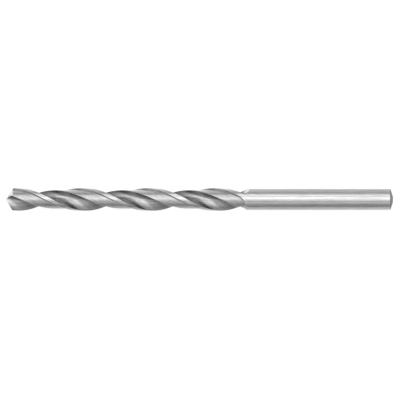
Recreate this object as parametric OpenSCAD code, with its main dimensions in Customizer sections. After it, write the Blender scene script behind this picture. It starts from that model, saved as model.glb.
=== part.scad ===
// Twist drill bit with two right-hand flutes, a 118 degree point and a plain round shank.
// It lies along X with its point towards -X.
// The origin is the middle of the flat on the end of the shank.

/* [Bar] */
// Diameter over the margins, which is the size of hole it cuts
cutting_d = 5; // [4:0.1:8]
// Diameter of the plain shank
shank_d = 4.75; // [4:0.05:8]
// How far the lands lie below their margins
land_drop = 0.45; // [0.1:0.05:0.7]
// Length over all, from the chisel edge to the shank end
overall_l = 86; // [70:1:140]
// Length from the chisel edge to where the lands and margins end at the shank
flute_l = 53.6; // [40:0.2:64]
// Length of the chamfer at the edge of the shank end
end_chamfer_l = 0.25; // [0.1:0.05:0.8]
// Depth of that chamfer
end_chamfer_w = 0.08; // [0.05:0.01:0.4]
// Length of the shallow cone inside it
end_cone_l = 0.5; // [0.2:0.1:1.5]
// Diameter of the flat left in the middle of the shank end
end_flat_d = 1.4; // [0.8:0.1:3]

/* [Flutes] */
// Length in which the flutes make one full turn
lead = 29.7; // [20:0.1:50]
// Thickness of the web at the point
web_tip = 0.8; // [0.6:0.05:1.1]
// Thickness of the web where the flutes end
web_end = 1.25; // [0.8:0.05:1.6]
// Angle of each land, from its cutting corner to its heel
land_angle = 85; // [80:1:94]
// Lean of the heel wall at its top edge, out over the flute from a line through the axis
heel_hook = 20; // [0:1:35]
// Angle of each margin, measured from its cutting corner
margin_angle = 18.5; // [10:0.5:26]
// Angle that the step behind each margin takes
step_angle = 6.5; // [3:0.5:10]
// Length in which the flutes come up to the surface, which is never less than their depth
run_out_l = 3; // [2:0.2:10]
// How far the flutes run on into the shank
run_on_l = 0.5; // [0:0.1:2]
// Length of the slope from the lands up to the shank
shoulder_l = 0.75; // [0.3:0.05:1.5]
// Length in which the margins widen to close the lands off
flare_l = 1.4; // [0.6:0.1:3]

/* [Point] */
// Angle across the two lips
point_angle = 118; // [100:1:140]
// Clearance angle at the lips
lip_clearance = 12; // [6:1:16]
// Distance from each lip to the top of the cone on which its flank is ground
flank_reach = 8; // [6:0.5:12]

/* [Position] */
// Turn of the drill about its own axis as it lies
roll = -9; // [-180:0.1:180]

/* [Hidden] */

cutting_r = cutting_d / 2;
shank_r = shank_d / 2;
land_r = cutting_r - land_drop;
flute_count = 2;

// Degrees of turn in one millimetre along the axis
twist_rate = 360 / lead;
lip_rate = twist_rate / tan(point_angle / 2);

// Cutters and ribs reach this far past what they cut or join
beyond = 0.5;
cutter_r = cutting_r + beyond;

// Faces that would only touch are made to cross by this much
crossing = 0.04;

// Steps of turn between the rings of a flute, and of length in its run-out
ring_turn = 8;
ring_l = ring_turn / twist_rate;
run_out_rings = 12;
flare_rings = 6;

// Depth from which the flutes come up, and the length they take for it
flute_depth = max(cutting_r, shank_r) - web_end / 2 + crossing;
rise_l = max(run_out_l, flute_depth);

// Where each change along the bar begins
flute_end_z = flute_l + run_on_l;
run_out_z = flute_end_z - rise_l;
shoulder_z = flute_l - shoulder_l;
neck_z = shoulder_z - shoulder_l;
shoulder_mid_z = flute_l - shoulder_l / 2;
flare_z = shoulder_mid_z - flare_l;

round_fn = 96;
bar_color = [0.70, 0.70, 0.71];

// Points and vectors in the plane across the axis
function polar(r, a) = [r * cos(a), r * sin(a)];
function turned(p, a) = [p.x * cos(a) - p.y * sin(a), p.x * sin(a) + p.y * cos(a)];
function angle_of(p) = atan2(p.y, p.x);

// Turn of the flutes at a distance along the axis, counted from the lips
function turn_at(z) = twist_rate * (z + tip_rise);
function web_at(z) = web_tip + (web_end - web_tip) * max(0, min(1, z / flute_l));

// A point on the face that a straight lip leaves behind as it follows the twist
function rake_point(x, web) = turned([x, -web / 2], -lip_rate * x);
corner_x = sqrt(cutting_r * cutting_r - web_tip * web_tip / 4);
corner_a = angle_of(rake_point(corner_x, web_tip));
heel_a = corner_a - 180 + land_angle;

// The flank cone: it holds the lip as one of its sides, and falls away behind it.
// Its half angle keeps its far side clear of the shank.
far_side_lean = 1;
flank_half_angle = (point_angle / 2 + far_side_lean) / 2;
lip_dir = [sin(point_angle / 2), 0, cos(point_angle / 2)];
flank_in = [-lip_dir.z, -tan(lip_clearance) * lip_dir.x, lip_dir.x];
flank_axis = cos(flank_half_angle) * lip_dir + sin(flank_half_angle) * flank_in / norm(flank_in);
flank_top = [0, -web_tip / 2, 0] - flank_reach * lip_dir;
flank_tilt = acos(flank_axis.z);
flank_heading = angle_of(flank_axis);

// Height of the flank cones over the lips' level at the axis, where they make the chisel edge
flank_c2 = pow(cos(flank_half_angle), 2);
axis_b = -flank_axis.z * (flank_top * flank_axis) + flank_c2 * flank_top.z;
axis_c = pow(flank_top * flank_axis, 2) - flank_c2 * (flank_top * flank_top);
axis_a = flank_axis.z * flank_axis.z - flank_c2;
tip_rise = axis_c / (-axis_b - sqrt(axis_b * axis_b - axis_a * axis_c));

// How far a flute has come up out of the bar: the arc of a grinding wheel that lifts away
wheel_r = (rise_l * rise_l + flute_depth * flute_depth) / (2 * flute_depth);
function lift_at(z) = wheel_r - sqrt(max(0, wheel_r * wheel_r - pow(max(0, z - run_out_z), 2)));
lift_a = (corner_a + heel_a) / 2;

// How far the straight pulls of the heel wall reach, as shares of the radii at its top edge and at its floor
heel_pull = 0.38;
floor_pull = 0.18;
function curve_point(a, b, c, d, t) =
    pow(1 - t, 3) * a + 3 * pow(1 - t, 2) * t * b + 3 * (1 - t) * t * t * c + t * t * t * d;

// Section of one flute: up the heel wall on one curve, round outside the bar, and in along the rake face
heel_steps = 8;
rake_steps = 5;
outer_steps = 3;
function flute_section(web) =
    let (
        heel = polar(land_r + crossing, heel_a),
        wall = polar(heel_pull * land_r, heel_a + heel_hook),
        floor_mid = [0, -web / 2],
        floor_out = [-floor_pull * cutting_r, -web / 2],
        outer_a = angle_of(rake_point(cutter_r, web))
    )
    [
        for (i = [0 : heel_steps])
            curve_point(floor_mid, floor_out, heel - wall, heel, i / heel_steps),
        for (i = [0 : outer_steps - 1])
            polar(cutter_r, heel_a + (outer_a - heel_a) * i / outer_steps),
        for (i = [rake_steps : -1 : 1])
            rake_point(cutter_r * i / rake_steps, web),
    ];

// Section of one rib, from the middle of the flute over the margin to the step behind it
rib_steps = 3;
function rib_section(widening) =
    let (
        inner_r = land_r - beyond,
        margin_a = corner_a + margin_angle + widening,
        foot_a = margin_a + step_angle
    )
    [
        polar(inner_r, lift_a),
        for (i = [0 : rib_steps - 1])
            polar(cutter_r, lift_a + (margin_a - lift_a) * i / rib_steps),
        polar(cutting_r + crossing, margin_a),
        polar(land_r - crossing, foot_a),
        polar(inner_r, foot_a),
    ];

// How far round a margin has widened by a given distance along the axis
flare_a = 38;
function flare_at(z) = flare_a * (1 - sqrt(1 - pow(max(0, min(1, (z - flare_z) / flare_l)), 2)));

// Distances along the axis at which rings are laid, closer together where the flutes run out
body_rings = ceil((run_out_z + beyond) / ring_l);
function body_steps(from, to, count) = [for (i = [0 : count - 1]) from + (to - from) * i / count];
flute_z = concat(
    body_steps(-beyond, run_out_z, body_rings),
    body_steps(run_out_z, flute_end_z, run_out_rings),
    [flute_end_z]
);
rib_z = concat(
    body_steps(-beyond, flare_z, body_rings),
    body_steps(flare_z, shoulder_mid_z, flare_rings),
    [shoulder_mid_z, flute_l + beyond]
);

// A ring at its place along the axis, with the turn of the flutes there
function ring(section, z) = [for (p = section) let (q = turned(p, turn_at(z))) [q.x, q.y, z]];

// Skins a closed solid through rings of as many points each
module skin(rings) {
    n = len(rings[0]);
    top = len(rings) - 1;
    sides = [
        for (i = [0 : top - 1], j = [0 : n - 1])
            let (a = i * n + j, b = i * n + (j + 1) % n)
            each [[a, b + n, b], [a, a + n, b + n]]
    ];
    bottom_cap = [[for (j = [0 : n - 1]) j]];
    top_cap = [[for (j = [n - 1 : -1 : 0]) top * n + j]];
    polyhedron(points = [for (r = rings) each r], faces = concat(sides, bottom_cap, top_cap));
}

module flute_cutter() {
    skin([
        for (z = flute_z)
            let (lift = polar(lift_at(z), lift_a))
            ring([for (p = flute_section(web_at(z))) p + lift], z)
    ]);
}

module margin_rib() {
    skin([for (z = rib_z) ring(rib_section(flare_at(z)), z)]);
}

// The bar before its flutes: lands, shoulder, shank and end cone, turned in one
module turned_bar() {
    rotate_extrude($fn = round_fn)
        polygon([
            [0, -beyond],
            [land_r, -beyond],
            [land_r, shoulder_z],
            [shank_r, flute_l],
            [shank_r, overall_l - end_cone_l - end_chamfer_l],
            [shank_r - end_chamfer_w, overall_l - end_cone_l],
            [end_flat_d / 2, overall_l],
            [0, overall_l],
        ]);
}

// The outside that the margins are ground to, down to the shank's size at the shoulder
module margin_envelope() {
    rotate_extrude($fn = round_fn)
        polygon([
            [0, -beyond],
            [cutting_r, -beyond],
            [cutting_r, neck_z],
            [shank_r, flute_l],
            [0, flute_l],
        ]);
}

module flank_cone() {
    cone_l = 2 * overall_l;
    translate(flank_top - [0, 0, tip_rise])
        rotate([0, flank_tilt, flank_heading])
            cylinder(h = cone_l, r1 = 0, r2 = cone_l * tan(flank_half_angle), $fn = 2 * round_fn);
}

module drill_upright() {
    intersection() {
        difference() {
            union() {
                turned_bar();
                intersection() {
                    margin_envelope();
                    for (i = [0 : flute_count - 1])
                        rotate(360 * i / flute_count)
                            margin_rib();
                }
            }
            for (i = [0 : flute_count - 1])
                rotate(360 * i / flute_count)
                    flute_cutter();
        }
        flank_cone();
        rotate(180)
            flank_cone();
    }
}

module twist_drill() {
    color(bar_color)
        translate([-overall_l, 0, 0])
            rotate([-90, 0, 0])
                rotate([0, 90, 0])
                    rotate(roll)
                        drill_upright();
}

twist_drill();
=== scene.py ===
"""A twist drill bit lying on a white table, seen from straight above.

The drill is drawn upright in millimetres and degrees, with its chisel edge at 0, and then laid along X
in metres. Its finish, the table and the room are made of nodes.
"""

import math

import bmesh
import bpy
import numpy as np
from mathutils.geometry import delaunay_2d_cdt
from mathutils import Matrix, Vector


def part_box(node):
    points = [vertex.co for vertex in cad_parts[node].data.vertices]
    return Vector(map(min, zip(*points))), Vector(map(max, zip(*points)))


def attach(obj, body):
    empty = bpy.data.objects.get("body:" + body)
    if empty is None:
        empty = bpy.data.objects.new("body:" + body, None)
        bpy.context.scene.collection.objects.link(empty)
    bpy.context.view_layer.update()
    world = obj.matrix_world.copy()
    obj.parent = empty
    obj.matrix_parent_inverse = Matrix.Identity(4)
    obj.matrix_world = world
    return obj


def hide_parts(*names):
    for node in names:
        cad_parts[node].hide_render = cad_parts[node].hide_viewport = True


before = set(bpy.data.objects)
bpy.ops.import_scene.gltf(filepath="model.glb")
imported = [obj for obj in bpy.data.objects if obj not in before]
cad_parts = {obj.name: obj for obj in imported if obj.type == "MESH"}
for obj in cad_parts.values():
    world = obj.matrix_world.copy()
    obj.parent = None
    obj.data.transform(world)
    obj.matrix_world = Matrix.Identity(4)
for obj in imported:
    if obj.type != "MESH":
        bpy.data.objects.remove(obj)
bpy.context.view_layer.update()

MM = 0.001

# The sizes that the drill is made to, as in the part's source
CUTTING_R = 2.5
SHANK_R = 2.375
LAND_R = 2.05
OVERALL_L = 86.0
FLUTE_L = 53.6
END_CHAMFER_L = 0.25
END_CHAMFER_W = 0.08
END_CONE_L = 0.5
END_FLAT_R = 0.7
LEAD = 29.7
WEB_TIP = 0.8
WEB_END = 1.25
LAND_ANGLE = 85.0
HEEL_HOOK = 20.0
HEEL_PULL = 0.38
FLOOR_PULL = 0.18
MARGIN_ANGLE = 18.5
STEP_ANGLE = 6.5
RUN_ON_L = 0.5
RUN_OUT_L = 3.0
SHOULDER_L = 0.75
FLARE_L = 1.4
FLARE_A = 38.0
POINT_ANGLE = 118.0
LIP_CLEARANCE = 12.0
FLANK_REACH = 8.0
FAR_SIDE_LEAN = 1.0
ROLL = -9.0

# How far a cutter reaches past the bar, and how far faces cross that would only touch
BEYOND = 0.5
CROSSING = 0.04

# What follows from those sizes
TWIST_RATE = 360 / LEAD
LIP_RATE = TWIST_RATE / math.tan(math.radians(POINT_ANGLE / 2))
CUTTER_R = CUTTING_R + BEYOND
FLUTE_END = FLUTE_L + RUN_ON_L
FLUTE_DEPTH = max(CUTTING_R, SHANK_R) - WEB_END / 2 + CROSSING
RISE_L = max(RUN_OUT_L, FLUTE_DEPTH)
WHEEL_R = (RISE_L**2 + FLUTE_DEPTH**2) / (2 * FLUTE_DEPTH)
RUN_OUT_Z = FLUTE_END - RISE_L
SHOULDER_Z = FLUTE_L - SHOULDER_L
NECK_Z = SHOULDER_Z - SHOULDER_L
SHOULDER_MID_Z = FLUTE_L - SHOULDER_L / 2
FLARE_Z = SHOULDER_MID_Z - FLARE_L
CONE_Z = OVERALL_L - END_CONE_L
CHAMFER_Z = CONE_Z - END_CHAMFER_L

# How far the edges are broken, and the share of the way that a corner is pulled in between its neighbours
BROKEN = {"corner": 0.012, "margin": 0.03, "foot": 0.04, "heel": 0.035}
CORNER_PULL = 0.5

# How the points of half a ring are shared out over the flute's floor, the margin, the step and the land.
# Each part has two points before its shares and one after them, for its broken edges.
EVEN_SHARES = np.linspace(0, 1, 46)[1:-1]
MARGIN_SHARES = np.linspace(0, 1, 16)[1:-1]
STEP_SHARES = np.zeros(0)
LAND_SHARES = np.linspace(0, 1, 26)[1:-1]
FIRST_SHARE = 2
MARGIN_START = FIRST_SHARE + len(EVEN_SHARES) + 1
STEP_START = MARGIN_START + FIRST_SHARE + len(MARGIN_SHARES) + 1
LAND_START = STEP_START + FIRST_SHARE + len(STEP_SHARES) + 1
HALF_COLUMNS = LAND_START + FIRST_SHARE + len(LAND_SHARES) + 1
COLUMNS = 2 * HALF_COLUMNS

# Points on the fine line that a flute's floor is taken from
WALL_POINTS = 90
RAKE_POINTS = 150

# Heights at which sections are drawn to find where they meet the ground point
TIP_ZS = np.linspace(-0.4, 2.2, 105)

# The rings: short steps in the point, even ones along the flutes, and short ones again where they run out
POINT_TOP = 2.0
POINT_STEPS = 9
POINT_EASE = 1.3
RING_L = 0.19
RUN_OUT_STEPS = 61
FLARE_STEPS = 29
SHANK_STEPS = 16

# The chisel edge: where its end is looked for along the flute's floor, its points, and the swing in which
# each is looked for round the axis
CHISEL_SPAN = (0.3, 0.9)
CHISEL_SHARES = 400
CHISEL_POINTS = 17
CHISEL_SWING = 40
SWING_TRIES = 2001

# The small triangles that fill the flanks: their side, the height of a row, how far they reach, how near
# they come to the flank's outline, and the mesher's number for triangles that stay inside it
FILL_SIDE = 0.085
FILL_ROW = 0.866 * FILL_SIDE
FILL_REACH = CUTTING_R + 0.1
FILL_CLEAR = 0.4 * FILL_SIDE
STAY_INSIDE = 1

# A length in millimetres that counts as nothing
NOTHING = 1e-7

# The gap at which points are joined and the shortest edge, in metres, and the angle of a sharp edge
JOIN_GAP = 2e-7
SHORTEST_EDGE = 1e-7
SHARP_ANGLE = 32

# The kinds of face, by their finish
FLUTE = "flute"
STEP = "step"
LAND = "land"
FLANK = "flank"
PLAIN = "plain"
END = "end"

# What the finish reads at each point: its place before the twist, how far across a flute it is, and whether
# it is on an edge
DRAWN = "drawn"
ACROSS = "across"
EDGE = "edge"


def mix(a, b, t):
    return a + (b - a) * t


def share_of(z, start, length):
    """How far z has come from a start over a length, from 0 to 1."""
    return min(1.0, max(0.0, (z - start) / length))


def polar(r, a):
    a = np.radians(a)
    return np.stack([r * np.cos(a), r * np.sin(a)], -1)


def turned(p, a):
    a = np.radians(a)
    c, s = np.cos(a), np.sin(a)
    return np.stack([p[..., 0] * c - p[..., 1] * s, p[..., 0] * s + p[..., 1] * c], -1)


def angle_of(p):
    return np.degrees(np.arctan2(p[..., 1], p[..., 0]))


def outward(p):
    """The direction of each point from the axis."""
    return p / np.hypot(p[:, 0], p[:, 1])[:, None]


def rake_point(x, web):
    """A point on the face that a straight lip leaves behind as it follows the twist."""
    x = np.asarray(x, float)
    return turned(np.stack([x, np.full_like(x, -web / 2)], -1), -LIP_RATE * x)


# The flank cones: each holds a lip as one of its sides, and falls away behind it
LIP_LEAN = math.radians(POINT_ANGLE / 2)
FLANK_HALF = math.radians((POINT_ANGLE / 2 + FAR_SIDE_LEAN) / 2)
FLANK_COS2 = math.cos(FLANK_HALF) ** 2
LIP_DIR = np.array([math.sin(LIP_LEAN), 0, math.cos(LIP_LEAN)])
FLANK_IN = np.array([-LIP_DIR[2], -math.tan(math.radians(LIP_CLEARANCE)) * LIP_DIR[0], LIP_DIR[0]])
FLANK_OUT = math.sin(FLANK_HALF) * FLANK_IN / np.linalg.norm(FLANK_IN)
FLANK_AXIS = math.cos(FLANK_HALF) * LIP_DIR + FLANK_OUT


def cone_height(x, y, top):
    """Height of a flank cone's near side over (x, y)."""
    dx, dy = x - top[0], y - top[1]
    reach = dx * FLANK_AXIS[0] + dy * FLANK_AXIS[1]
    a = FLANK_AXIS[2] ** 2 - FLANK_COS2
    b = FLANK_AXIS[2] * reach
    c = reach**2 - FLANK_COS2 * (dx**2 + dy**2)
    return (-b + np.sqrt(np.maximum(b * b - a * c, 0))) / a + top[2]


# The cones' tops, first over the lips' level and then over the chisel edge
LIPS_TOP = np.array([0, -WEB_TIP / 2, 0]) - FLANK_REACH * LIP_DIR
TIP_RISE = float(cone_height(0.0, 0.0, LIPS_TOP))
FLANK_TOP = LIPS_TOP - np.array([0, 0, TIP_RISE])


def flank(x, y):
    return cone_height(x, y, FLANK_TOP)


def flank_gap(p):
    """How far one flank's cone lies over the other's."""
    return flank(p[..., 0], p[..., 1]) - flank(-p[..., 0], -p[..., 1])


def point_height(x, y):
    return np.maximum(flank(x, y), flank(-x, -y))


# Angles of the cutting corner, the heel edge and the middle of the flute
CORNER_X = math.sqrt(CUTTING_R**2 - WEB_TIP**2 / 4)
CORNER_A = float(angle_of(rake_point(CORNER_X, WEB_TIP)))
HEEL_A = CORNER_A - 180 + LAND_ANGLE
LIFT_A = (CORNER_A + HEEL_A) / 2


def turn_at(z):
    """Turn of the flutes at a distance along the axis, counted from the lips."""
    return TWIST_RATE * (z + TIP_RISE)


def web_at(z):
    return mix(WEB_TIP, WEB_END, share_of(z, 0, FLUTE_L))


def lift_at(z):
    """How far a flute has come up out of the bar: the arc of a grinding wheel that lifts away."""
    return WHEEL_R - math.sqrt(max(0.0, WHEEL_R**2 - max(0.0, z - RUN_OUT_Z) ** 2))


def flare_at(z):
    """How far round a margin has widened."""
    return FLARE_A * (1 - math.sqrt(1 - share_of(z, FLARE_Z, FLARE_L) ** 2))


def outer_r(z):
    """Radius over the margins, down the neck to the shank."""
    return mix(CUTTING_R, SHANK_R, share_of(z, NECK_Z, FLUTE_L - NECK_Z))


def land_r(z):
    return mix(LAND_R, SHANK_R, share_of(z, SHOULDER_Z, SHOULDER_L))


def flute_curve(web):
    """One flute's floor as a fine line: down its heel wall, then out along the rake face."""
    heel = polar(LAND_R + CROSSING, HEEL_A)
    wall = polar(HEEL_PULL * LAND_R, HEEL_A + HEEL_HOOK)
    floor_out = np.array([-FLOOR_PULL * CUTTING_R, -web / 2])
    floor_mid = np.array([0, -web / 2])
    t = np.linspace(0, 1, WALL_POINTS)[:, None]
    pulls = enumerate(((1, heel), (3, heel - wall), (3, floor_out), (1, floor_mid)))
    arc = sum(count * (1 - t) ** (3 - k) * t**k * p for k, (count, p) in pulls)
    rake = rake_point(np.linspace(0, CUTTER_R, RAKE_POINTS)[1:], web)
    return np.concatenate([arc, rake])


def beside(a):
    """Angle counted from the middle of the flute, within half a turn."""
    return (a - LIFT_A + 180) % 360 - 180


def floor_at(z):
    """The flute's floor at a distance along the axis, from its heel edge to its leading edge."""
    curve = flute_curve(web_at(z)) + polar(lift_at(z), LIFT_A)
    r = np.hypot(curve[:, 0], curve[:, 1])
    side = beside(angle_of(curve))
    outer, land = outer_r(z), land_r(z)
    inside = np.flatnonzero(r < np.where(side < 0, land, outer))
    if len(inside) < 2:
        return np.stack([polar(land, LIFT_A), polar(outer, LIFT_A)])
    i, j = inside[0], inside[-1]
    # Late in the run-out the floor is only under the thicker half of the bar, and starts at its middle
    if i > 0 and side[i - 1] < 0 <= side[i]:
        t = -side[i - 1] / (side[i] - side[i - 1])
        start = [polar(land, LIFT_A), mix(curve[i - 1], curve[i], t)]
    else:
        t = (land - r[i - 1]) / (r[i] - r[i - 1])
        start = [mix(curve[i - 1], curve[i], t)]
    end_r = outer if side[j] >= 0 else land
    t = (end_r - r[j]) / (r[j + 1] - r[j])
    return np.concatenate([start, curve[i : j + 1], [mix(curve[j], curve[j + 1], t)]])


def on_step(z, r):
    """Where the step behind the margin crosses a radius."""
    margin_a = CORNER_A + MARGIN_ANGLE + flare_at(z)
    high = polar(CUTTING_R + CROSSING, margin_a)
    low = polar(LAND_R - CROSSING, margin_a + STEP_ANGLE)
    d = high - low
    a, b, c = d @ d, low @ d, low @ low - r * r
    return low + (-b + math.sqrt(b * b - a * c)) / a * d


def steps_of(line):
    """Distances between the points of a line."""
    return np.hypot(*np.diff(line, axis=0).T)


def spread(length, shares, first, last):
    """Distances from 0 to a length: small steps for the broken edges at its ends, and shares between them.

    A small step takes at most a sixth of the length.
    """
    first, last = min(first, length / 6), min(last, length / 6)
    return np.concatenate([[0, first], first + (length - first - last) * shares, [length - last, length]])


def line_part(line, shares, first, last):
    """Points spread along a line of points."""
    at = np.concatenate([[0], np.cumsum(steps_of(line))])
    places = spread(float(steps_of(line).sum()), shares, BROKEN[first], BROKEN[last])
    return np.stack([np.interp(places, at, line[:, 0]), np.interp(places, at, line[:, 1])], -1)


def arc_part(r, start_a, end_a, shares, first, last):
    """Points spread round the axis between two angles."""
    per_mm = math.degrees(1) / r
    places = spread((end_a - start_a) / per_mm, shares, BROKEN[first], BROKEN[last])
    return polar(r, start_a + places * per_mm)


def half_ring(z, flute_shares):
    """Half of the section at a distance along the axis, heel edge to heel edge, before its twist."""
    floor = floor_at(z)
    outer, land = outer_r(z), land_r(z)
    start_a = LIFT_A + float(beside(angle_of(floor[-1])))
    end_a = LIFT_A + float(beside(angle_of(floor[0]))) + 180
    high, low = on_step(z, outer), on_step(z, land)
    parts = [
        line_part(floor, flute_shares, "heel", "corner"),
        arc_part(outer, start_a, float(angle_of(high)), MARGIN_SHARES, "corner", "margin"),
        line_part(np.stack([high, low]), STEP_SHARES, "margin", "foot"),
        arc_part(land, float(angle_of(low)), end_a, LAND_SHARES, "foot", "heel"),
    ]

    # Each part ends where the next one starts
    parts = [part[:-1] for part in parts]
    ring = np.concatenate(parts)
    corners = np.cumsum([0] + [len(part) for part in parts[:-1]])
    before = np.concatenate([-ring[-1:], ring[:-1]])
    after = np.concatenate([ring[1:], -ring[:1]])
    ring[corners] = mix(ring, (before + after) / 2, CORNER_PULL)[corners]
    return ring


def whole_ring(z, flute_shares):
    """The section's two halves, one half a turn on from the other."""
    half = half_ring(z, flute_shares)
    return np.concatenate([half, -half])


def ground_rim(flute_shares):
    """Where each column meets the ground point: place before the twist, height, and place after it."""
    flat = np.stack([whole_ring(z, flute_shares) for z in TIP_ZS])
    twisted = np.stack([turned(ring, turn_at(z)) for ring, z in zip(flat, TIP_ZS)])
    over = TIP_ZS[:, None] - point_height(twisted[..., 0], twisted[..., 1])

    # In each column, the last section that the grinding of the point still cuts away
    i = (over < 0).cumprod(0).sum(0) - 1
    k = np.arange(flat.shape[1])
    t = (-over[i, k] / (over[i + 1, k] - over[i, k]))[:, None]
    drawn = mix(flat[i, k], flat[i + 1, k], t)
    place = turned(drawn, turn_at(mix(TIP_ZS[i], TIP_ZS[i + 1], t[:, 0])))
    return drawn, point_height(place[:, 0], place[:, 1]), place


def chisel_share():
    """Where along the flute's floor the chisel edge ends."""
    shares = np.linspace(*CHISEL_SPAN, CHISEL_SHARES)
    place = ground_rim(shares)[2]
    gap = flank_gap(place[FIRST_SHARE : FIRST_SHARE + len(shares)])
    i = int(np.flatnonzero(np.diff(np.sign(gap)))[-1])
    return mix(shares[i], shares[i + 1], -gap[i] / (gap[i + 1] - gap[i]))


# One column of the flute's floor is moved to the end of the chisel edge
CHISEL = chisel_share()
NEAREST = int(np.argmin(abs(EVEN_SHARES - CHISEL)))
FLUTE_SHARES = np.where(np.arange(len(EVEN_SHARES)) == NEAREST, CHISEL, EVEN_SHARES)
CHISEL_COLUMN = FIRST_SHARE + NEAREST
RIM_DRAWN, RIM_Z, RIM_PLACE = ground_rim(FLUTE_SHARES)


class Surface:
    """Points and faces of the upright drill.

    Each point also has its place before the twist, how far across a flute it is, and 1 on an edge.
    Each face has a kind.
    """

    def __init__(self):
        self.points = []
        self.drawn = []
        self.across = []
        self.edge = []
        self.faces = []
        self.kinds = []

    def add_points(self, points, drawn, across=1.0, edge=0.0):
        """Adds points, and gives the number of the first."""
        first = len(self.points)
        self.points.extend(points)
        self.drawn.extend(drawn)
        self.across.extend(np.broadcast_to(across, len(points)))
        self.edge.extend(np.broadcast_to(edge, len(points)))
        return first

    def add_face(self, corners, kind):
        self.faces.append(tuple(corners))
        self.kinds.append(kind)


def flute_rings():
    """Each ring from the point to the flutes' end: its places before the twist, and their heights."""
    rings = [(RIM_DRAWN, RIM_Z)]
    top = whole_ring(POINT_TOP, FLUTE_SHARES)
    for k in range(1, POINT_STEPS):
        t = (k / POINT_STEPS) ** POINT_EASE
        rings.append((mix(RIM_DRAWN, top, t), mix(RIM_Z, POINT_TOP, t)))
    even_zs = np.linspace(POINT_TOP, RUN_OUT_Z, int((RUN_OUT_Z - POINT_TOP) / RING_L))
    rising_zs = RUN_OUT_Z + RISE_L * np.sin(np.radians(np.linspace(0, 90, RUN_OUT_STEPS + 1)))[1:]
    flare_zs = np.linspace(FLARE_Z, FLUTE_L, FLARE_STEPS + 1)
    run_out_zs = np.unique(np.concatenate([rising_zs, [FLARE_Z, NECK_Z, SHOULDER_Z, FLUTE_L], flare_zs]))
    for z in np.concatenate([even_zs, run_out_zs]):
        rings.append((whole_ring(float(z), FLUTE_SHARES), np.full(COLUMNS, z)))
    return rings


def shank_profile():
    """Radius and height of each ring from the flutes' end to the flat on the shank's end.

    The pairs are shares of the chamfer's depth and length. The rest are shares of the cone and the flat.
    """
    profile = [(SHANK_R, z) for z in np.linspace(FLUTE_END, CHAMFER_Z, SHANK_STEPS + 1)[1:]]
    for inward, up in ((0.25, 0.12), (0.8, 0.88), (1.35, 1.0)):
        profile.append((SHANK_R - inward * END_CHAMFER_W, mix(CHAMFER_Z, CONE_Z, up)))
    for t in (0.12, 0.4, 0.7, 0.94, 1.0):
        profile.append((mix(SHANK_R - END_CHAMFER_W, END_FLAT_R, t), mix(CONE_Z, OVERALL_L, t)))
    return profile + [(END_FLAT_R * share, OVERALL_L) for share in (0.92, 0.5)]


def kind_at(column, z):
    """The kind of the face that starts at a column of the fluted part."""
    column %= HALF_COLUMNS
    if column < MARGIN_START:
        return FLUTE
    if column < STEP_START or z > FLUTE_L - NOTHING:
        return PLAIN
    return STEP if column < LAND_START else LAND


def add_sides(surface):
    """The flutes, margins and lands, the shank and its end."""
    across = np.ones(HALF_COLUMNS)
    across[: MARGIN_START - 1] = np.concatenate([[0, 0], FLUTE_SHARES])

    # The edges with a painted highlight are the heel, the cutting corner and the back of the margin
    edge = np.zeros(HALF_COLUMNS)
    edge[[0, MARGIN_START, STEP_START]] = 1.0
    fluted = flute_rings()
    for drawn, z in fluted:
        place = turned(drawn, turn_at(z))
        places = np.column_stack([place, z])
        surface.add_points(places, np.column_stack([drawn, z]), np.tile(across, 2), np.tile(edge, 2))

    # The shank goes straight on from the last of those rings
    profile = shank_profile()
    for r, z in profile:
        columns = [np.column_stack([outward(p) * r, np.full(COLUMNS, z)]) for p in (place, drawn)]
        # The rings at the chamfer and the cone get an edge's painted highlight
        surface.add_points(*columns, edge=float(z in (CHAMFER_Z, CONE_Z)))

    for i in range(len(fluted) + len(profile) - 1):
        for j in range(COLUMNS):
            a, b = i * COLUMNS + j, i * COLUMNS + (j + 1) % COLUMNS
            kind = kind_at(j, fluted[i][1][0]) if i < len(fluted) - 1 else PLAIN
            surface.add_face((a, b, b + COLUMNS, a + COLUMNS), kind)
    centre = surface.add_points([(0, 0, OVERALL_L)], [(0, 0, OVERALL_L)])
    last = centre - COLUMNS
    for j in range(COLUMNS):
        surface.add_face((last + j, last + (j + 1) % COLUMNS, centre), PLAIN)


def chisel_line():
    """Points of the chisel edge from the end of one lip, through the axis, to the other."""
    end = RIM_PLACE[CHISEL_COLUMN]
    reach, heading = float(np.hypot(*end)), float(angle_of(end))
    swing = heading + np.linspace(-CHISEL_SWING, CHISEL_SWING, SWING_TRIES)
    points = []
    for share in np.linspace(1, -1, CHISEL_POINTS)[1:-1]:
        tries = polar(reach * abs(share), swing)
        crossings = np.flatnonzero(np.diff(np.sign(flank_gap(tries))))
        nearest = crossings[np.argmin(abs(crossings - SWING_TRIES // 2))] if share else 0
        points.append(tries[nearest] * np.sign(share))
    return np.array(points)


def is_inside(p, loop):
    """Whether a point is in a loop, by how many of its sides a line from the point crosses."""
    x, y = p
    a, b = loop, np.roll(loop, -1, 0)
    crosses = (a[:, 1] > y) != (b[:, 1] > y)
    a, b = a[crosses], b[crosses]
    at = a[:, 0] + (y - a[:, 1]) * (b[:, 0] - a[:, 0]) / (b[:, 1] - a[:, 1])
    return bool((x < at).sum() % 2)


def distance_to(p, loop):
    """Distance from a point to the nearest side of a loop."""
    side = np.roll(loop, -1, 0) - loop
    t = np.clip(((p - loop) * side).sum(1) / np.maximum((side * side).sum(1), NOTHING**2), 0, 1)
    return float(np.hypot(*(loop + side * t[:, None] - p).T).min())


def fill_of(loop):
    """Points of even triangles inside a loop, clear of its line."""
    fill = []
    for row, y in enumerate(np.arange(-FILL_REACH, FILL_REACH, FILL_ROW)):
        for x in np.arange(-FILL_REACH, FILL_REACH, FILL_SIDE):
            p = np.array([x + FILL_SIDE / 2 * (row % 2), y])
            if is_inside(p, loop) and distance_to(p, loop) > FILL_CLEAR:
                fill.append(p)
    return fill


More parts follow.
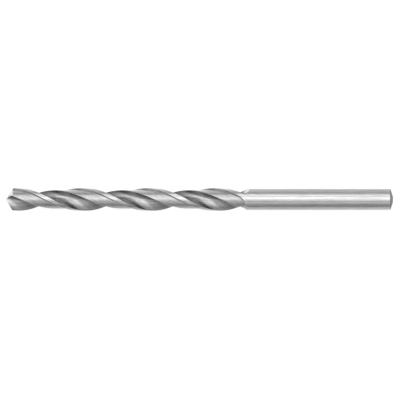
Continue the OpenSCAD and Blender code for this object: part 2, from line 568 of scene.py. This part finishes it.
def add_flanks(surface):
    """Fills each flank with small triangles that lie on its cone. Both share the chisel edge."""
    order = [(CHISEL_COLUMN + k) % COLUMNS for k in range(HALF_COLUMNS + 1)]
    loop = np.concatenate([RIM_PLACE[order], chisel_line()[::-1]])
    flat = [tuple(map(float, p)) for p in [*loop, *fill_of(loop)]]
    outline = list(range(len(loop)))
    spots, _, triangles, sources, _, _ = delaunay_2d_cdt(flat, [], [outline], STAY_INSIDE, NOTHING)
    shared = {}
    for side in (0, 1):
        numbers = []
        for spot, source in zip(spots, sources):
            source = min(source, default=len(flat))
            if source < len(order):
                numbers.append((order[source] + side * HALF_COLUMNS) % COLUMNS)
                continue
            on_chisel = source < len(loop)

            # Half a turn on, the points of the chisel edge come in the other order
            key = source if side == 0 else len(order) + len(loop) - 1 - source
            if on_chisel and key in shared:
                numbers.append(shared[key])
                continue
            place = np.array(spot) * (1 - 2 * side)
            height = float(point_height(*place))
            drawn = turned(place, -turn_at(height))
            # Points on the chisel edge get an edge's painted highlight
            number = surface.add_points([(*place, height)], [(*drawn, height)], edge=float(on_chisel))
            numbers.append(number)
            if on_chisel:
                shared[key] = number
        for triangle in triangles:
            surface.add_face([numbers[v] for v in reversed(triangle)], FLANK)


def join_and_smooth(mesh):
    """Joins the points that meet, and shades all but the sharp edges smooth."""
    bm = bmesh.new()
    bm.from_mesh(mesh)
    bmesh.ops.remove_doubles(bm, verts=bm.verts, dist=JOIN_GAP)
    bmesh.ops.dissolve_degenerate(bm, edges=bm.edges, dist=SHORTEST_EDGE)
    bmesh.ops.recalc_face_normals(bm, faces=bm.faces)
    for face in bm.faces:
        face.smooth = True
    bm.to_mesh(mesh)
    bm.free()
    mesh.set_sharp_from_angle(angle=math.radians(SHARP_ANGLE))


def drill_mesh(surface):
    """The surface laid along X with its point towards -X, with what its finish reads."""
    upright = np.array(surface.points)
    rolled = turned(upright[:, :2], ROLL)
    laid = np.column_stack([upright[:, 2] - OVERALL_L, -rolled[:, 0], -rolled[:, 1]]) * MM
    mesh = bpy.data.meshes.new("drill_surface")
    mesh.from_pydata(laid.tolist(), [], surface.faces)
    drawn = np.array(surface.drawn, np.float32).ravel()
    mesh.attributes.new(DRAWN, "FLOAT_VECTOR", "POINT").data.foreach_set("vector", drawn)
    for name, values in ((ACROSS, surface.across), (EDGE, surface.edge)):
        values = np.array(values, np.float32)
        mesh.attributes.new(name, "FLOAT", "POINT").data.foreach_set("value", values)
    for kind in (FLUTE, STEP, LAND, FLANK):
        mask = np.array([k == kind for k in surface.kinds], np.float32)
        mesh.attributes.new(kind, "FLOAT", "FACE").data.foreach_set("value", mask)
    mesh.update()
    join_and_smooth(mesh)
    return mesh


def node(tree, kind, **values):
    """A node, with values for its inputs or its own settings."""
    made = tree.nodes.new(kind)
    for name, value in values.items():
        if name in made.inputs:
            made.inputs[name].default_value = value
        else:
            setattr(made, name, value)
    return made


def feed(tree, value, socket):
    """Sets a socket to a number, or links another node's output to it."""
    if isinstance(value, (int, float)):
        socket.default_value = value
    else:
        tree.links.new(value, socket)


def maths(tree, operation, *values):
    made = node(tree, "ShaderNodeMath", operation=operation)
    for value, socket in zip(values, made.inputs):
        feed(tree, value, socket)
    return made.outputs[0]


def between(tree, share, a, b):
    """A number that goes from a to b as the share goes from 0 to 1."""
    made = tree.nodes.new("ShaderNodeMapRange")
    for value, name in ((share, "Value"), (a, "To Min"), (b, "To Max")):
        feed(tree, value, made.inputs[name])
    return made.outputs["Result"]


def stepped(tree, value, span, a=0.0, b=1.0):
    """A number that goes smoothly from a to b as the value crosses a span."""
    made = node(tree, "ShaderNodeMapRange", interpolation_type="SMOOTHSTEP")
    for part, name in zip((value, *span, a, b), ("Value", "From Min", "From Max", "To Min", "To Max")):
        feed(tree, part, made.inputs[name])
    return made.outputs["Result"]


def ramped(tree, value, stops):
    """A number that follows (place, level) stops."""
    made = tree.nodes.new("ShaderNodeValToRGB")
    ramp = made.color_ramp.elements
    while len(ramp) < len(stops):
        ramp.new(0.5)
    for stop, (place, level) in zip(ramp, stops):
        stop.position = place
        stop.color = (level, level, level, 1)
    feed(tree, value, made.inputs["Fac"])
    return made.outputs["Color"]


def split(tree, vector):
    """The X, Y and Z of a vector."""
    made = tree.nodes.new("ShaderNodeSeparateXYZ")
    feed(tree, vector, made.inputs[0])
    return made.outputs


def scaled(tree, vector, factors):
    made = node(tree, "ShaderNodeVectorMath", operation="MULTIPLY")
    made.inputs[1].default_value = factors
    feed(tree, vector, made.inputs[0])
    return made.outputs[0]


def noise(tree, place, stretch, scale, detail, roughness):
    made = node(tree, "ShaderNodeTexNoise", Scale=scale, Detail=detail, Roughness=roughness)
    feed(tree, scaled(tree, place, stretch), made.inputs["Vector"])
    return made.outputs["Fac"]


# Patterns in the steel: how far each is stretched in x, y and along the axis, then its scale, detail and
# roughness. A small last stretch makes long lines along the drill.
LINES = ((1, 1, 0.05), 4.6, 3, 0.5)
FINE_LINES = ((1, 1, 0.006), 5.5, 3, 0.5)
FLUTE_CLOUD = ((1, 1, 0.6), 1.7, 4, 0.6)
SHANK_CLOUD = ((1, 1, 0.12), 4.0, 4, 0.6)
PITS = ((1, 1, 0.5), 7.5, 1, 0.5)
ROUND_LINES = ((1, 1, 1), 11, 4, 0.55)

# The round lines follow the distance from the axis, and the place round it by this much
ROUND_SWEEP = 0.14

# Heights between which the finish changes: in the run-out, where the flutes' painted shade gives way to the
# plain tone, at the shank, and at the turned end
FLUTE_SHADE_END = (RUN_OUT_Z + 0.8, FLUTE_END - 0.4)
SHANK_START = (FLUTE_L - 0.6, FLUTE_L + 0.2)
# Where the turned end starts, which gets painted shade
END_START = (CONE_Z - 0.2, CONE_Z - 0.08)

# How bright and how rough the steel is on each kind of face. The margins and the shank are plain. The step
# and the turned end are darkened with painted shade.
TONE_AND_SHADE = {PLAIN: 0.83, STEP: 0.5, LAND: 0.72, FLANK: 0.86, END: 0.24}
ROUGHNESS = {PLAIN: 0.1, FLUTE: 0.17, LAND: 0.27, FLANK: 0.26, END: 0.4}

# How bright it is across a flute, from its heel edge to its leading edge: painted shade, darkest under the
# heel edge and dark again towards the leading edge, with a lighter floor for its painted highlight
FLUTE_PAINTED_SHADE = [
    (0.0, 0.3),
    (0.05, 0.22),
    (0.14, 0.25),
    (0.24, 0.4),
    (0.34, 0.6),
    (0.46, 0.67),
    (0.58, 0.67),
    (0.7, 0.55),
    (0.82, 0.45),
    (1.0, 0.45),
]

# How bright the painted highlight on an edge is, the share of the way that the tone goes to it, and blue as
# a multiple of red
EDGE_HIGHLIGHT = 0.88
EDGE_HIGHLIGHT_SHARE = 0.6
BLUE_TINT = 1.004

# The span of each pattern's values that changes the tone, and what the tone is multiplied by at its two
# ends. The lines have one number for the flutes and one for the shank at each end.
LINE_SPAN = (0.3, 0.7)
LINE_LOW = (0.89, 0.94)
LINE_HIGH = (1.08, 1.05)
CLOUD_SPAN = (0.25, 0.75)
CLOUD_TONES = (0.9, 1.1)
FINE_SPAN = (0.32, 0.68)
FINE_TONES = (0.9, 1.08)
PIT_SPAN = (0.7, 0.77)
PIT_TONE = 0.72

# What the lines and the pits add to the roughness
LINE_ROUGHNESS = (-0.03, 0.04)
PIT_ROUGHNESS = 0.12

# How high the patterns stand, as shares of the bump's height in metres. Pairs are for flutes and shank.
BUMP_HEIGHT = 1.1e-5
LINE_HEIGHT = (1.0, 0.12)
CLOUD_HEIGHT = (1.3, 0.22)
FINE_HEIGHT = (0.8, 1.3)
PIT_DEPTH = 0.3

# What is left of the cloud's height on the ground point and the turned end
FACED_CLOUD = 0.15


def round_lines(tree, drawn, at):
    """Lines that go round the axis, as on the ground point and the turned end."""
    radius = node(tree, "ShaderNodeVectorMath", operation="LENGTH")
    feed(tree, scaled(tree, drawn, (1, 1, 0)), radius.inputs[0])
    swept = tree.nodes.new("ShaderNodeCombineXYZ")
    feed(tree, radius.outputs["Value"], swept.inputs["X"])
    feed(tree, maths(tree, "MULTIPLY", at["X"], ROUND_SWEEP), swept.inputs["Y"])
    feed(tree, maths(tree, "MULTIPLY", at["Y"], ROUND_SWEEP), swept.inputs["Z"])
    return noise(tree, swept.outputs[0], *ROUND_LINES)


def steel_tone_and_shade(tree, kinds, marks, at):
    """How bright the steel is, with painted shade and painted highlights."""
    across = node(tree, "ShaderNodeAttribute", attribute_name=ACROSS).outputs["Fac"]
    edge = node(tree, "ShaderNodeAttribute", attribute_name=EDGE).outputs["Fac"]
    run_out = stepped(tree, at["Z"], FLUTE_SHADE_END)
    # The flutes get painted shade across them, which gives way to the plain tone in the run-out
    shaded_flute = between(tree, run_out, ramped(tree, across, FLUTE_PAINTED_SHADE), TONE_AND_SHADE[PLAIN])
    tone = between(tree, kinds[FLUTE], TONE_AND_SHADE[PLAIN], shaded_flute)
    # The step and the turned end get painted shade; the lands and the flanks have their own tone
    for kind in (STEP, LAND, FLANK, END):
        tone = between(tree, kinds[kind], tone, TONE_AND_SHADE[kind])
    lowest = between(tree, marks["shank"], *LINE_LOW)
    highest = between(tree, marks["shank"], *LINE_HIGH)
    lined = stepped(tree, marks["lines"], LINE_SPAN, lowest, highest)
    cloudy = between(tree, marks["faced"], stepped(tree, marks["cloud"], CLOUD_SPAN, *CLOUD_TONES), 1.0)
    fine = stepped(tree, marks["fine"], FINE_SPAN, *FINE_TONES)
    pitted = between(tree, marks["pits"], 1.0, PIT_TONE)
    for factor in (lined, cloudy, fine, pitted):
        tone = maths(tree, "MULTIPLY", tone, factor)
    # Edges get a painted highlight
    return between(tree, maths(tree, "MULTIPLY", edge, EDGE_HIGHLIGHT_SHARE), tone, EDGE_HIGHLIGHT)


def steel_roughness(tree, kinds, marks):
    rough = ROUGHNESS[PLAIN]
    for kind in (FLUTE, LAND, FLANK, END):
        rough = between(tree, kinds[kind], rough, ROUGHNESS[kind])
    rough = maths(tree, "ADD", rough, between(tree, marks["lines"], *LINE_ROUGHNESS))
    return maths(tree, "ADD", rough, between(tree, marks["pits"], 0.0, PIT_ROUGHNESS))


def steel_height(tree, marks):
    cloud_height = between(tree, marks["shank"], *CLOUD_HEIGHT)
    cloud_height = maths(tree, "MULTIPLY", cloud_height, between(tree, marks["faced"], 1.0, FACED_CLOUD))
    height = maths(tree, "MULTIPLY", marks["lines"], between(tree, marks["shank"], *LINE_HEIGHT))
    height = maths(tree, "MULTIPLY_ADD", marks["cloud"], cloud_height, height)
    fine_height = between(tree, marks["shank"], *FINE_HEIGHT)
    height = maths(tree, "MULTIPLY_ADD", marks["fine"], fine_height, height)
    return maths(tree, "SUBTRACT", height, maths(tree, "MULTIPLY", marks["pits"], PIT_DEPTH))


def ground_steel():
    """Bright ground steel, with grinding lines, a cloudy tone, small pits, painted shade and painted edge
    highlights.
    """
    material = bpy.data.materials.new("ground_steel")
    material.use_nodes = True
    tree = material.node_tree
    shader = tree.nodes["Principled BSDF"]
    shader.inputs["Metallic"].default_value = 1.0
    drawn = node(tree, "ShaderNodeAttribute", attribute_name=DRAWN).outputs["Vector"]
    at = split(tree, drawn)
    kinds = {
        kind: node(tree, "ShaderNodeAttribute", attribute_name=kind).outputs["Fac"]
        for kind in (FLUTE, STEP, LAND, FLANK)
    }
    kinds[END] = stepped(tree, at["Z"], END_START)
    shank = stepped(tree, at["Z"], SHANK_START)
    faced = maths(tree, "MAXIMUM", kinds[FLANK], kinds[END])
    rounds = round_lines(tree, drawn, at)
    marks = {
        "shank": shank,
        "faced": faced,
        "lines": between(tree, faced, noise(tree, drawn, *LINES), rounds),
        "fine": between(tree, faced, noise(tree, drawn, *FINE_LINES), rounds),
        "cloud": between(tree, shank, noise(tree, drawn, *FLUTE_CLOUD), noise(tree, drawn, *SHANK_CLOUD)),
        "pits": stepped(tree, noise(tree, drawn, *PITS), PIT_SPAN),
    }
    tone = steel_tone_and_shade(tree, kinds, marks, at)
    steel = tree.nodes.new("ShaderNodeCombineColor")
    feed(tree, tone, steel.inputs["Red"])
    feed(tree, tone, steel.inputs["Green"])
    feed(tree, maths(tree, "MULTIPLY", tone, BLUE_TINT), steel.inputs["Blue"])
    bump = node(tree, "ShaderNodeBump", Strength=1.0, Distance=BUMP_HEIGHT)
    feed(tree, steel_height(tree, marks), bump.inputs["Height"])
    feed(tree, steel.outputs["Color"], shader.inputs["Base Color"])
    feed(tree, steel_roughness(tree, kinds, marks), shader.inputs["Roughness"])
    feed(tree, bump.outputs["Normal"], shader.inputs["Normal"])
    return material


# The table: its half width in metres, its grey, and the light it gives to the camera and through glass
TABLE_HALF = 0.6
TABLE_GREY = 0.35
TABLE_SEEN = 0.86
TABLE_THROUGH = 0.5

# The light that the table gives to metal is a painted pool of light, which falls off with the distance from
# the axis. It is brighter above the flutes in the picture, where the soft light is nearest.
POOL_SPAN = (2 * MM, 10 * MM)
POOL_LEVELS = (0.59, 0.28)
UPPER_SIDE = (1 * MM, 3 * MM)
FLUTES_SIDE = (-36 * MM, -30 * MM)
FLUTES_GAIN = 1.45


def white_table():
    """White to the camera, with the drill's shadow on it."""
    material = bpy.data.materials.new("white_table")
    material.use_nodes = True
    tree = material.node_tree
    tree.nodes.clear()
    ray = tree.nodes.new("ShaderNodeLightPath").outputs
    at = split(tree, tree.nodes.new("ShaderNodeNewGeometry").outputs["Position"])
    pool = stepped(tree, maths(tree, "ABSOLUTE", at["Y"]), POOL_SPAN, *POOL_LEVELS)
    gain = stepped(tree, at["X"], FLUTES_SIDE, FLUTES_GAIN, 1.0)
    gain = between(tree, stepped(tree, at["Y"], UPPER_SIDE), 1.0, gain)
    light = maths(tree, "MULTIPLY", ray["Is Camera Ray"], TABLE_SEEN)
    light = maths(tree, "MULTIPLY_ADD", ray["Is Glossy Ray"], maths(tree, "MULTIPLY", pool, gain), light)
    light = maths(tree, "MULTIPLY_ADD", ray["Is Transmission Ray"], TABLE_THROUGH, light)
    diffuse = node(tree, "ShaderNodeBsdfDiffuse", Color=(TABLE_GREY, TABLE_GREY, TABLE_GREY, 1))
    glow = tree.nodes.new("ShaderNodeEmission")
    both = tree.nodes.new("ShaderNodeAddShader")
    out = tree.nodes.new("ShaderNodeOutputMaterial")
    feed(tree, light, glow.inputs["Strength"])
    feed(tree, diffuse.outputs[0], both.inputs[0])
    feed(tree, glow.outputs[0], both.inputs[1])
    feed(tree, both.outputs[0], out.inputs["Surface"])
    return material


def table_mesh(low):
    mesh = bpy.data.meshes.new("table")
    corners = [(-1, -1), (1, -1), (1, 1), (-1, 1)]
    mesh.from_pydata([(x * TABLE_HALF, y * TABLE_HALF, low) for x, y in corners], [], [(0, 1, 2, 3)])
    mesh.materials.append(white_table())
    return mesh


# How bright the room is by the angle from straight up, which grows towards the top of the picture: a soft
# light from -10 to 52 degrees with its brightest part near 15, a weak one at -32, and dim walls
ROOM = [
    (-180, 0.45),
    (-110, 0.42),
    (-96, 0.38),
    (-86, 0.24),
    (-64, 0.29),
    (-52, 0.34),
    (-42, 0.48),
    (-32, 0.58),
    (-24, 0.46),
    (-18, 0.49),
    (-10, 0.78),
    (0, 0.93),
    (6, 1.2),
    (24, 1.15),
    (30, 0.85),
    (36, 0.88),
    (42, 0.98),
    (52, 0.95),
    (58, 0.6),
    (66, 0.41),
    (82, 0.41),
    (100, 0.46),
    (180, 0.45),
]

# The room fades to one level towards both ends of the drill. The span is of the direction's part along X.
ROOM_ENDS = (0.3, 0.9)
ENDS_LEVEL = 0.43


def studio():
    """A room that is white to the camera and has a soft light over the drill for the metal."""
    world = bpy.data.worlds.new("studio")
    world.use_nodes = True
    tree = world.node_tree
    tree.nodes.clear()
    at = split(tree, tree.nodes.new("ShaderNodeTexCoord").outputs["Generated"])
    lean = maths(tree, "ARCTAN2", at["Y"], at["Z"])
    turn = maths(tree, "MULTIPLY_ADD", lean, 1 / math.tau, 0.5)
    light = ramped(tree, turn, [((angle + 180) / 360, level) for angle, level in ROOM])
    beside_drill = stepped(tree, maths(tree, "ABSOLUTE", at["X"]), ROOM_ENDS, 1.0, 0.0)
    level = between(tree, beside_drill, ENDS_LEVEL, light)
    camera_ray = tree.nodes.new("ShaderNodeLightPath").outputs["Is Camera Ray"]
    back = tree.nodes.new("ShaderNodeBackground")
    out = tree.nodes.new("ShaderNodeOutputWorld")
    feed(tree, between(tree, camera_ray, level, 1.0), back.inputs["Color"])
    feed(tree, back.outputs[0], out.inputs["Surface"])
    return world


# The photograph: its width in pixels, the drill's length in one of them, and the place under its middle
PHOTO_W = 400
PIXEL_L = 0.2224
PHOTO_MIDDLE = (-42.88, -0.13)
CAMERA_HEIGHT = 1.0
SENSOR_W = 36


def added(name, data):
    """An object with this data, linked into the scene."""
    made = bpy.data.objects.new(name, data)
    bpy.context.scene.collection.objects.link(made)
    return made


def add_camera():
    """A camera straight above, with the photograph's framing."""
    data = bpy.data.cameras.new("camera")
    data.sensor_width = SENSOR_W
    data.lens = SENSOR_W * CAMERA_HEIGHT / (PHOTO_W * PIXEL_L * MM)
    data.clip_start = 0.01
    data.clip_end = 10
    camera = added("camera", data)
    camera.location = (PHOTO_MIDDLE[0] * MM, PHOTO_MIDDLE[1] * MM, CAMERA_HEIGHT)
    bpy.context.scene.camera = camera


surface = Surface()
add_sides(surface)
add_flanks(surface)
mesh = drill_mesh(surface)
mesh.materials.append(ground_steel())
drill = added("drill", mesh)
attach(drill, "root")
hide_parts("twist_drill")

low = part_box("twist_drill")[0][2]
floor = added("table", table_mesh(low))

bpy.context.scene.world = studio()
add_camera()
bpy.context.scene.view_settings.view_transform = "Standard"
